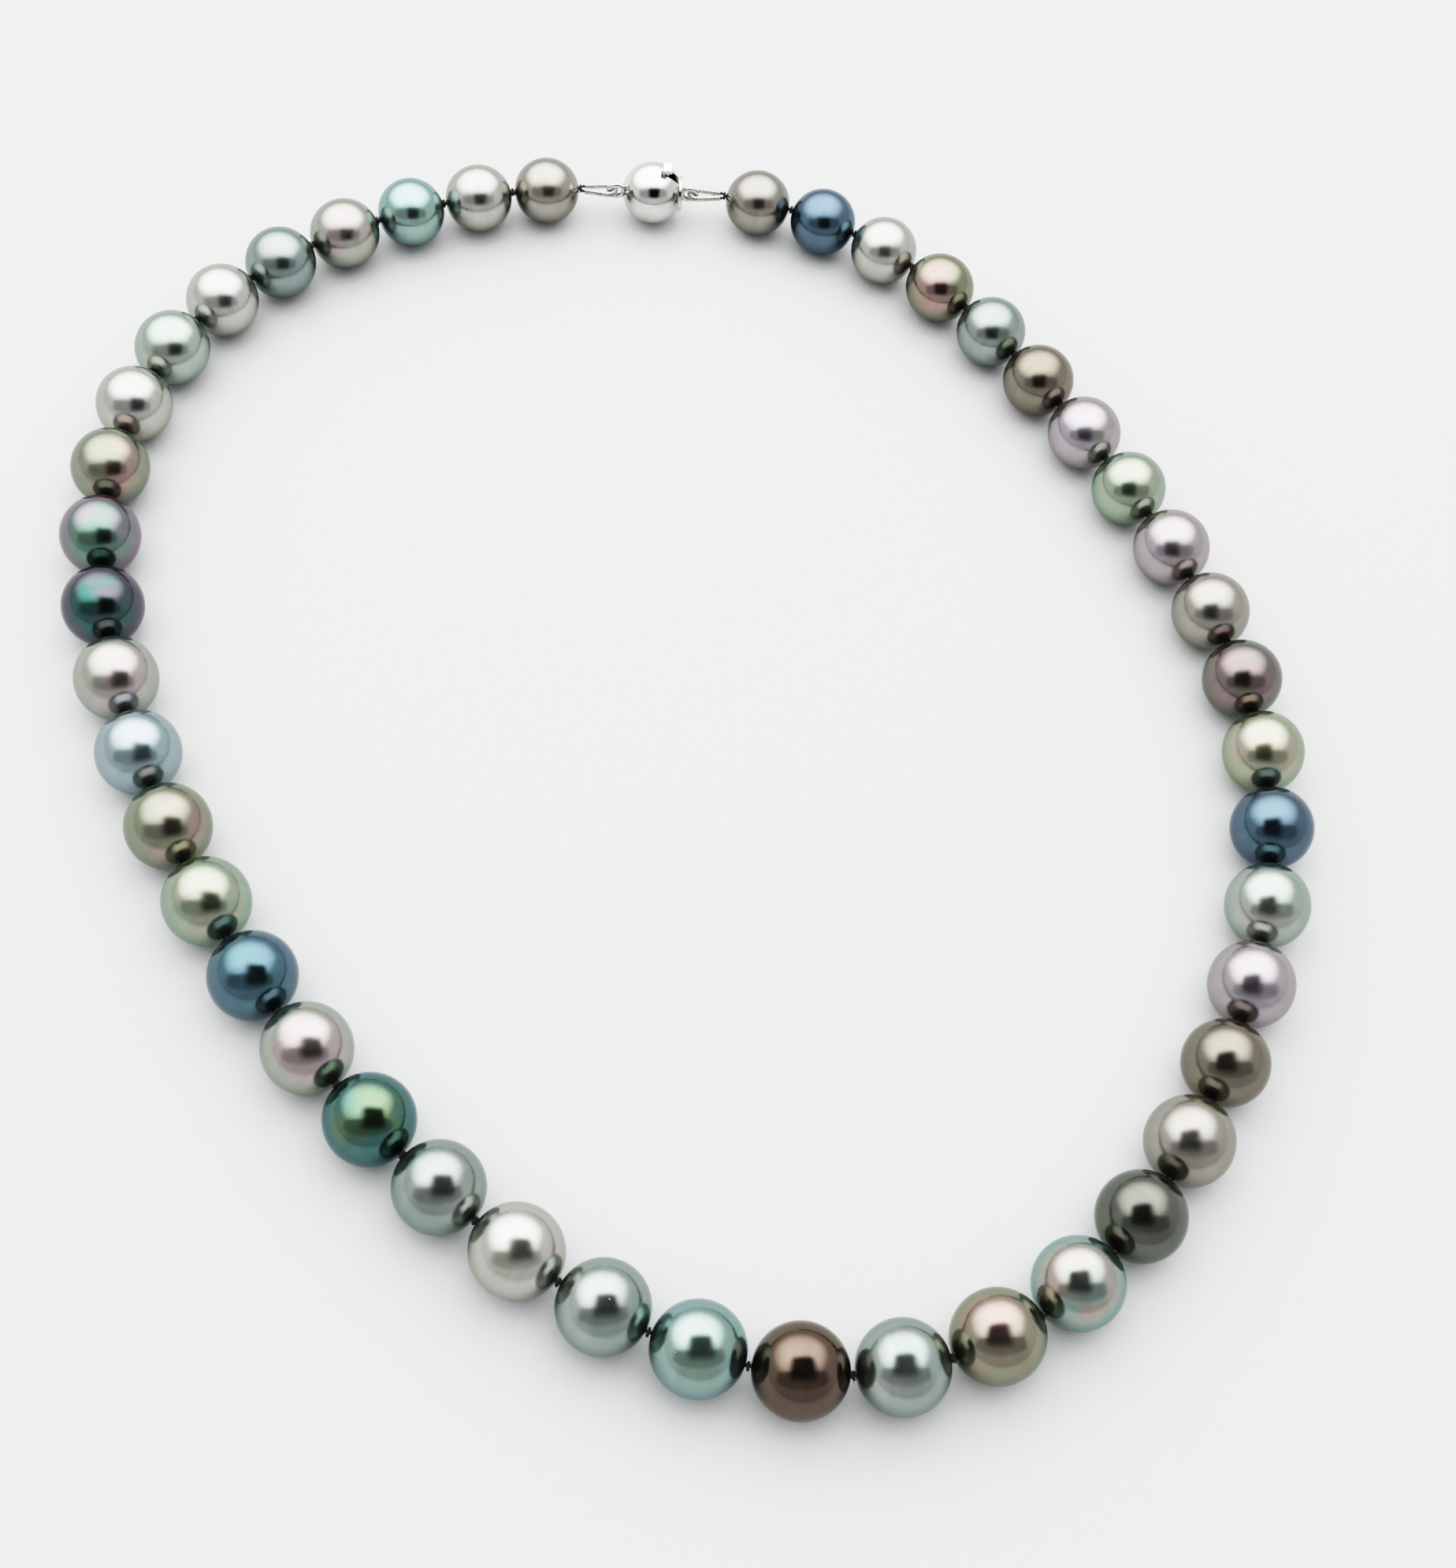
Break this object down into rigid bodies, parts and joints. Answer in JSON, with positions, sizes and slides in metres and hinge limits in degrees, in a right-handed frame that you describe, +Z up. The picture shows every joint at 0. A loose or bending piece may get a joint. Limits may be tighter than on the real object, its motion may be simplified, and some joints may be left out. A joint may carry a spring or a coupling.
{
  "type": "pearl necklace",
  "caption": "Graduated knotted strand of dark round pearls closed by a ball snap clasp; it opens at the clasp and unbends knot by knot until it lies straight.",
  "frame": {"origin": "on the surface the strand lies on, under the middle of the loop's outline", "axes": "+X to the right, +Y to the back where the clasp is, +Z up away from the surface; the largest pearls are at the front, -Y"},
  "size_m": [0.1458, 0.165, 0.0099],
  "materials": {
    "silver": "polished",
    "pewter": "polished",
    "silver_green": "polished",
    "sea_silver": "polished",
    "ice_blue": "polished",
    "teal": "polished",
    "steel_teal": "polished",
    "peacock": "polished",
    "deep_teal": "polished",
    "deep_peacock": "polished",
    "rose_moss": "polished",
    "rose_silver": "polished",
    "green_gold": "polished",
    "aqua": "polished",
    "pink_aqua": "polished",
    "bronze_rose": "polished",
    "aubergine": "polished",
    "mauve": "polished",
    "charcoal": "polished",
    "olive": "polished",
    "lavender": "polished",
    "indigo": "polished",
    "cream_gold": "polished",
    "silk": "matte",
    "gimp_wire": "satin",
    "clasp_metal": "polished"
  },
  "bodies": {
    "pearl_01": {"pearl_01": "pewter"},
    "pearl_02": {"pearl_02": "silver"},
    "pearl_03": {"pearl_03": "aqua"},
    "pearl_04": {"pearl_04": "rose_silver"},
    "pearl_05": {"pearl_05": "teal"},
    "pearl_06": {"pearl_06": "silver"},
    "pearl_07": {"pearl_07": "silver_green"},
    "pearl_08": {"pearl_08": "silver"},
    "pearl_09": {"pearl_09": "rose_moss"},
    "pearl_10": {"pearl_10": "peacock"},
    "pearl_11": {"pearl_11": "deep_teal"},
    "pearl_12": {"pearl_12": "rose_silver"},
    "pearl_13": {"pearl_13": "ice_blue"},
    "pearl_14": {"pearl_14": "rose_moss"},
    "pearl_15": {"pearl_15": "green_gold"},
    "pearl_16": {"pearl_16": "steel_teal"},
    "pearl_17": {"pearl_17": "rose_silver"},
    "pearl_18": {"pearl_18": "deep_peacock"},
    "pearl_19": {"pearl_19": "sea_silver"},
    "pearl_20": {"pearl_20": "silver"},
    "pearl_21": {"pearl_21": "sea_silver"},
    "pearl_22": {"pearl_22": "aqua"},
    "pearl_23": {"pearl_23": "aubergine", "silk_thread": "silk"},
    "pearl_24": {"pearl_24": "sea_silver"},
    "pearl_25": {"pearl_25": "bronze_rose"},
    "pearl_26": {"pearl_26": "pink_aqua"},
    "pearl_27": {"pearl_27": "charcoal"},
    "pearl_28": {"pearl_28": "pewter"},
    "pearl_29": {"pearl_29": "olive"},
    "pearl_30": {"pearl_30": "lavender"},
    "pearl_31": {"pearl_31": "silver_green"},
    "pearl_32": {"pearl_32": "indigo"},
    "pearl_33": {"pearl_33": "cream_gold"},
    "pearl_34": {"pearl_34": "mauve"},
    "pearl_35": {"pearl_35": "pewter"},
    "pearl_36": {"pearl_36": "lavender"},
    "pearl_37": {"pearl_37": "green_gold"},
    "pearl_38": {"pearl_38": "lavender"},
    "pearl_39": {"pearl_39": "olive"},
    "pearl_40": {"pearl_40": "sea_silver"},
    "pearl_41": {"pearl_41": "bronze_rose"},
    "pearl_42": {"pearl_42": "silver"},
    "pearl_43": {"pearl_43": "indigo"},
    "pearl_44": {"pearl_44": "pewter"},
    "clasp_ball": {"clasp_ball": "clasp_metal", "gimp_ball_end": "gimp_wire"},
    "clasp_tongue": {"clasp_tongue": "clasp_metal", "gimp_tongue_end": "gimp_wire"},
    "clasp_leaf": {"clasp_leaf": "clasp_metal"}
  },
  "joints": [
    {"name": "left_side_opens", "type": "hinge", "parent": "pearl_23", "child": "pearl_22", "pos_m": [0.00604, -0.07705, 0.00495], "axis": [0, 0, 1], "range_deg": [0, 13.44], "deforming": ["silk_thread"]},
    {"name": "knot_22_bend", "type": "hinge", "parent": "pearl_22", "child": "pearl_21", "pos_m": [-0.00389, -0.07374, 0.00495], "axis": [0, 0, 1], "range_deg": [0, 10.44]},
    {"name": "knot_21_bend", "type": "hinge", "parent": "pearl_21", "child": "pearl_20", "pos_m": [-0.01293, -0.06875, 0.00494], "axis": [0, 0, 1], "range_deg": [0, 7.59]},
    {"name": "knot_20_bend", "type": "hinge", "parent": "pearl_20", "child": "pearl_19", "pos_m": [-0.02144, -0.06246, 0.00494], "axis": [0, 0, 1], "range_deg": [0, 5.39]},
    {"name": "knot_19_bend", "type": "hinge", "parent": "pearl_19", "child": "pearl_18", "pos_m": [-0.02911, -0.05558, 0.00492], "axis": [0, 0, 1], "range_deg": [0, 4.29]},
    {"name": "knot_18_bend", "type": "hinge", "parent": "pearl_18", "child": "pearl_17", "pos_m": [-0.03631, -0.04809, 0.00491], "axis": [0, 0, 1], "range_deg": [0, 4.13]},
    {"name": "knot_17_bend", "type": "hinge", "parent": "pearl_17", "child": "pearl_16", "pos_m": [-0.04299, -0.04006, 0.00489], "axis": [0, 0, 1], "range_deg": [0, 4.3]},
    {"name": "knot_16_bend", "type": "hinge", "parent": "pearl_16", "child": "pearl_15", "pos_m": [-0.04889, -0.03177, 0.00487], "axis": [0, 0, 1], "range_deg": [0, 4.43]},
    {"name": "knot_15_bend", "type": "hinge", "parent": "pearl_15", "child": "pearl_14", "pos_m": [-0.05424, -0.02286, 0.00485], "axis": [0, 0, 1], "range_deg": [0, 4.38]},
    {"name": "knot_14_bend", "type": "hinge", "parent": "pearl_14", "child": "pearl_13", "pos_m": [-0.0588, -0.01376, 0.00482], "axis": [0, 0, 1], "range_deg": [0, 4.28]},
    {"name": "knot_13_bend", "type": "hinge", "parent": "pearl_13", "child": "pearl_12", "pos_m": [-0.06263, -0.00443, 0.00479], "axis": [0, 0, 1], "range_deg": [0, 4.66]},
    {"name": "knot_12_bend", "type": "hinge", "parent": "pearl_12", "child": "pearl_11", "pos_m": [-0.06574, 0.00532, 0.00475], "axis": [0, 0, 1], "range_deg": [0, 5.72]},
    {"name": "knot_11_bend", "type": "hinge", "parent": "pearl_11", "child": "pearl_10", "pos_m": [-0.06779, 0.01501, 0.00472], "axis": [0, 0, 1], "range_deg": [0, 7.41]},
    {"name": "knot_10_bend", "type": "hinge", "parent": "pearl_10", "child": "pearl_09", "pos_m": [-0.06858, 0.02498, 0.00468], "axis": [0, 0, 1], "range_deg": [0, 9.53]},
    {"name": "knot_09_bend", "type": "hinge", "parent": "pearl_09", "child": "pearl_08", "pos_m": [-0.06772, 0.03485, 0.00464], "axis": [0, 0, 1], "range_deg": [0, 11.14]},
    {"name": "knot_08_bend", "type": "hinge", "parent": "pearl_08", "child": "pearl_07", "pos_m": [-0.06504, 0.04412, 0.00459], "axis": [0, 0, 1], "range_deg": [0, 12]},
    {"name": "knot_07_bend", "type": "hinge", "parent": "pearl_07", "child": "pearl_06", "pos_m": [-0.06041, 0.05277, 0.00454], "axis": [0, 0, 1], "range_deg": [0, 11.74]},
    {"name": "knot_06_bend", "type": "hinge", "parent": "pearl_06", "child": "pearl_05", "pos_m": [-0.05432, 0.06007, 0.00449], "axis": [0, 0, 1], "range_deg": [0, 10.44]},
    {"name": "knot_05_bend", "type": "hinge", "parent": "pearl_05", "child": "pearl_04", "pos_m": [-0.04705, 0.0661, 0.00443], "axis": [0, 0, 1], "range_deg": [0, 8.94]},
    {"name": "knot_04_bend", "type": "hinge", "parent": "pearl_04", "child": "pearl_03", "pos_m": [-0.03892, 0.07093, 0.00437], "axis": [0, 0, 1], "range_deg": [0, 7.54]},
    {"name": "knot_03_bend", "type": "hinge", "parent": "pearl_03", "child": "pearl_02", "pos_m": [-0.03056, 0.07451, 0.00431], "axis": [0, 0, 1], "range_deg": [0, 6.97]},
    {"name": "knot_02_bend", "type": "hinge", "parent": "pearl_02", "child": "pearl_01", "pos_m": [-0.02174, 0.07708, 0.00424], "axis": [0, 0, 1], "range_deg": [0, 7.41]},
    {"name": "knot_01_bend", "type": "hinge", "parent": "pearl_01", "child": "clasp_ball", "pos_m": [-0.01288, 0.07846, 0.00421], "axis": [0, 0, 1], "range_deg": [0, 8.82]},
    {"name": "right_side_opens", "type": "hinge", "parent": "pearl_23", "child": "pearl_24", "pos_m": [0.01654, -0.07797, 0.00495], "axis": [0, 0, -1], "range_deg": [0, 15.2], "deforming": ["silk_thread"]},
    {"name": "knot_25_bend", "type": "hinge", "parent": "pearl_24", "child": "pearl_25", "pos_m": [0.02667, -0.07615, 0.00494], "axis": [0, 0, -1], "range_deg": [0, 15.34]},
    {"name": "knot_26_bend", "type": "hinge", "parent": "pearl_25", "child": "pearl_26", "pos_m": [0.0362, -0.07159, 0.00494], "axis": [0, 0, -1], "range_deg": [0, 13.69]},
    {"name": "knot_27_bend", "type": "hinge", "parent": "pearl_26", "child": "pearl_27", "pos_m": [0.04423, -0.06504, 0.00492], "axis": [0, 0, -1], "range_deg": [0, 10.72]},
    {"name": "knot_28_bend", "type": "hinge", "parent": "pearl_27", "child": "pearl_28", "pos_m": [0.05087, -0.05714, 0.00491], "axis": [0, 0, -1], "range_deg": [0, 7.87]},
    {"name": "knot_29_bend", "type": "hinge", "parent": "pearl_28", "child": "pearl_29", "pos_m": [0.05646, -0.04826, 0.00489], "axis": [0, 0, -1], "range_deg": [0, 5.86]},
    {"name": "knot_30_bend", "type": "hinge", "parent": "pearl_29", "child": "pearl_30", "pos_m": [0.06098, -0.03914, 0.00487], "axis": [0, 0, -1], "range_deg": [0, 5.43]},
    {"name": "knot_31_bend", "type": "hinge", "parent": "pearl_30", "child": "pearl_31", "pos_m": [0.06466, -0.02949, 0.00485], "axis": [0, 0, -1], "range_deg": [0, 6.46]},
    {"name": "knot_32_bend", "type": "hinge", "parent": "pearl_31", "child": "pearl_32", "pos_m": [0.06722, -0.01955, 0.00482], "axis": [0, 0, -1], "range_deg": [0, 7.97]},
    {"name": "knot_33_bend", "type": "hinge", "parent": "pearl_32", "child": "pearl_33", "pos_m": [0.06835, -0.00958, 0.00479], "axis": [0, 0, -1], "range_deg": [0, 9.15]},
    {"name": "knot_34_bend", "type": "hinge", "parent": "pearl_33", "child": "pearl_34", "pos_m": [0.06787, 0.00065, 0.00475], "axis": [0, 0, -1], "range_deg": [0, 9.16]},
    {"name": "knot_35_bend", "type": "hinge", "parent": "pearl_34", "child": "pearl_35", "pos_m": [0.06583, 0.01037, 0.00472], "axis": [0, 0, -1], "range_deg": [0, 7.77]},
    {"name": "knot_36_bend", "type": "hinge", "parent": "pearl_35", "child": "pearl_36", "pos_m": [0.0625, 0.01973, 0.00468], "axis": [0, 0, -1], "range_deg": [0, 5.67]},
    {"name": "knot_37_bend", "type": "hinge", "parent": "pearl_36", "child": "pearl_37", "pos_m": [0.05824, 0.02874, 0.00464], "axis": [0, 0, -1], "range_deg": [0, 3.49]},
    {"name": "knot_38_bend", "type": "hinge", "parent": "pearl_37", "child": "pearl_38", "pos_m": [0.0536, 0.03719, 0.00459], "axis": [0, 0, -1], "range_deg": [0, 2.34]},
    {"name": "knot_39_bend", "type": "hinge", "parent": "pearl_38", "child": "pearl_39", "pos_m": [0.04854, 0.04556, 0.00454], "axis": [0, 0, -1], "range_deg": [0, 2.66]},
    {"name": "knot_40_bend", "type": "hinge", "parent": "pearl_39", "child": "pearl_40", "pos_m": [0.04323, 0.05351, 0.00449], "axis": [0, 0, -1], "range_deg": [0, 4.35]},
    {"name": "knot_41_bend", "type": "hinge", "parent": "pearl_40", "child": "pearl_41", "pos_m": [0.03743, 0.06089, 0.00443], "axis": [0, 0, -1], "range_deg": [0, 6.94]},
    {"name": "knot_42_bend", "type": "hinge", "parent": "pearl_41", "child": "pearl_42", "pos_m": [0.03072, 0.06759, 0.00437], "axis": [0, 0, -1], "range_deg": [0, 9.56]},
    {"name": "knot_43_bend", "type": "hinge", "parent": "pearl_42", "child": "pearl_43", "pos_m": [0.02329, 0.07287, 0.00431], "axis": [0, 0, -1], "range_deg": [0, 11.32]},
    {"name": "knot_44_bend", "type": "hinge", "parent": "pearl_43", "child": "pearl_44", "pos_m": [0.01494, 0.07659, 0.00424], "axis": [0, 0, -1], "range_deg": [0, 12.09]},
    {"name": "knot_45_bend", "type": "hinge", "parent": "pearl_44", "child": "clasp_tongue", "pos_m": [0.00612, 0.07846, 0.00421], "axis": [0, 0, -1], "range_deg": [0, 11.96]},
    {"name": "leaf_press", "type": "hinge", "parent": "clasp_tongue", "child": "clasp_leaf", "pos_m": [-0.00558, 0.07846, 0.00421], "axis": [0, 1, 0], "range_deg": [0, 8], "stiffness_Nm_per_rad": 0.01}
  ],
  "couplings": [
    {"joint": "knot_22_bend", "follows": "left_side_opens", "ratio": 0.77633},
    {"joint": "knot_21_bend", "follows": "left_side_opens", "ratio": 0.56473},
    {"joint": "knot_20_bend", "follows": "left_side_opens", "ratio": 0.40085},
    {"joint": "knot_19_bend", "follows": "left_side_opens", "ratio": 0.31886},
    {"joint": "knot_18_bend", "follows": "left_side_opens", "ratio": 0.30717},
    {"joint": "knot_17_bend", "follows": "left_side_opens", "ratio": 0.31952},
    {"joint": "knot_16_bend", "follows": "left_side_opens", "ratio": 0.32962},
    {"joint": "knot_15_bend", "follows": "left_side_opens", "ratio": 0.32604},
    {"joint": "knot_14_bend", "follows": "left_side_opens", "ratio": 0.31846},
    {"joint": "knot_13_bend", "follows": "left_side_opens", "ratio": 0.34676},
    {"joint": "knot_12_bend", "follows": "left_side_opens", "ratio": 0.4257},
    {"joint": "knot_11_bend", "follows": "left_side_opens", "ratio": 0.55142},
    {"joint": "knot_10_bend", "follows": "left_side_opens", "ratio": 0.70875},
    {"joint": "knot_09_bend", "follows": "left_side_opens", "ratio": 0.82893},
    {"joint": "knot_08_bend", "follows": "left_side_opens", "ratio": 0.89288},
    {"joint": "knot_07_bend", "follows": "left_side_opens", "ratio": 0.87334},
    {"joint": "knot_06_bend", "follows": "left_side_opens", "ratio": 0.77682},
    {"joint": "knot_05_bend", "follows": "left_side_opens", "ratio": 0.66468},
    {"joint": "knot_04_bend", "follows": "left_side_opens", "ratio": 0.56066},
    {"joint": "knot_03_bend", "follows": "left_side_opens", "ratio": 0.51876},
    {"joint": "knot_02_bend", "follows": "left_side_opens", "ratio": 0.55132},
    {"joint": "knot_01_bend", "follows": "left_side_opens", "ratio": 0.65642},
    {"joint": "knot_25_bend", "follows": "right_side_opens", "ratio": 1.0094},
    {"joint": "knot_26_bend", "follows": "right_side_opens", "ratio": 0.90079},
    {"joint": "knot_27_bend", "follows": "right_side_opens", "ratio": 0.70539},
    {"joint": "knot_28_bend", "follows": "right_side_opens", "ratio": 0.51796},
    {"joint": "knot_29_bend", "follows": "right_side_opens", "ratio": 0.38545},
    {"joint": "knot_30_bend", "follows": "right_side_opens", "ratio": 0.3576},
    {"joint": "knot_31_bend", "follows": "right_side_opens", "ratio": 0.42509},
    {"joint": "knot_32_bend", "follows": "right_side_opens", "ratio": 0.52435},
    {"joint": "knot_33_bend", "follows": "right_side_opens", "ratio": 0.60245},
    {"joint": "knot_34_bend", "follows": "right_side_opens", "ratio": 0.60292},
    {"joint": "knot_35_bend", "follows": "right_side_opens", "ratio": 0.51142},
    {"joint": "knot_36_bend", "follows": "right_side_opens", "ratio": 0.37281},
    {"joint": "knot_37_bend", "follows": "right_side_opens", "ratio": 0.22992},
    {"joint": "knot_38_bend", "follows": "right_side_opens", "ratio": 0.1542},
    {"joint": "knot_39_bend", "follows": "right_side_opens", "ratio": 0.1752},
    {"joint": "knot_40_bend", "follows": "right_side_opens", "ratio": 0.28629},
    {"joint": "knot_41_bend", "follows": "right_side_opens", "ratio": 0.45664},
    {"joint": "knot_42_bend", "follows": "right_side_opens", "ratio": 0.6291},
    {"joint": "knot_43_bend", "follows": "right_side_opens", "ratio": 0.74509},
    {"joint": "knot_44_bend", "follows": "right_side_opens", "ratio": 0.79571},
    {"joint": "knot_45_bend", "follows": "right_side_opens", "ratio": 0.78684}
  ]
}
